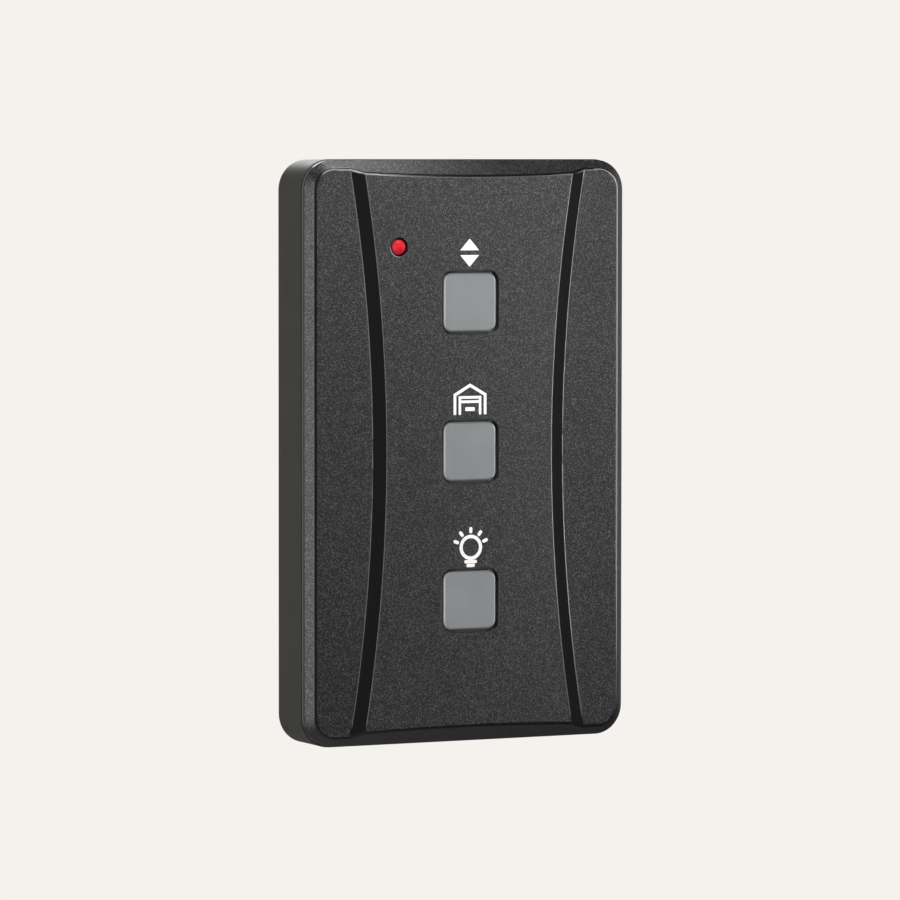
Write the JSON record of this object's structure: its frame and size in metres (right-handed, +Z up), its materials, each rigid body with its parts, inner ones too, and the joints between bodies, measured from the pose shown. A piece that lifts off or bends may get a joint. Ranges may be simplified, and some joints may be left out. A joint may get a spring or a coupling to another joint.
{
  "type": "wireless wall button",
  "caption": "Shallow black wall button: bevelled cover with two bowed ramps, square grey push keys and a red signal lamp; keyholes and a twist battery door in the back.",
  "frame": {"origin": "centre of the flat back face that rests on the wall", "axes": "+X to the right seen from the front, +Y into the wall, +Z up"},
  "size_m": [0.0702, 0.0149, 0.1142],
  "materials": {
    "case_plastic": "smooth satin black moulding",
    "cover_plastic": "black moulding, fine grain on the faces, polished ramps and edges",
    "key_plastic": "satin cool grey moulding",
    "plunger_plastic": "plain black moulding",
    "switch_plastic": "plain black moulding",
    "plated_steel": "bright plated sheet",
    "spring_steel": "bare spring sheet",
    "tinned_metal": "tinned",
    "board_laminate": "green solder mask with traces",
    "lamp_lens": "tinted red resin",
    "chip_plastic": "fine matt moulding compound",
    "can_metal": "bright drawn can",
    "chip_ceramic": "tan ceramic block",
    "copper_wire": "bare copper",
    "cell_steel": "polished steel can",
    "screw_steel": "zinc plated",
    "pictogram_ink": "white print on the front cover"
  },
  "bodies": {
    "case": {"rear_case": "case_plastic", "front_cover": "cover_plastic", "switch_housings": "switch_plastic", "switch_frames": "plated_steel", "snap_discs": "spring_steel", "switch_terminals": "tinned_metal", "circuit_board": "board_laminate", "signal_lamp": "lamp_lens", "lamp_leads": "tinned_metal", "radio_chip": "chip_plastic", "radio_chip_pins": "tinned_metal", "crystal_can": "plated_steel", "supply_capacitor": "can_metal", "chip_capacitors": "chip_ceramic", "chip_resistors": "chip_plastic", "antenna_wire": "copper_wire", "coin_cell": "cell_steel", "battery_holder": "switch_plastic", "plus_contact": "spring_steel", "minus_contact": "spring_steel", "cover_screws": "screw_steel", "board_screws": "screw_steel"},
    "key_arrows": {"key_cap_arrows": "key_plastic", "switch_plunger_arrows": "plunger_plastic"},
    "key_garage": {"key_cap_garage": "key_plastic", "switch_plunger_garage": "plunger_plastic"},
    "key_bulb": {"key_cap_bulb": "key_plastic", "switch_plunger_bulb": "plunger_plastic"},
    "battery_door": {"battery_door": "case_plastic"}
  },
  "joints": [
    {"name": "key_arrows_press", "type": "slide", "parent": "case", "child": "key_arrows", "axis": [0, 1, 0], "range_m": [0, 0.0005], "stiffness_N_per_m": 4000, "springref_m": -0.0001},
    {"name": "key_garage_press", "type": "slide", "parent": "case", "child": "key_garage", "axis": [0, 1, 0], "range_m": [0, 0.0005], "stiffness_N_per_m": 4000, "springref_m": -0.0001},
    {"name": "key_bulb_press", "type": "slide", "parent": "case", "child": "key_bulb", "axis": [0, 1, 0], "range_m": [0, 0.0005], "stiffness_N_per_m": 4000, "springref_m": -0.0001},
    {"name": "battery_door_turn", "type": "hinge", "parent": "case", "child": "battery_door", "pos_m": [0, -0.0012, -0.0155], "axis": [0, 1, 0], "range_deg": [0, 45]}
  ]
}
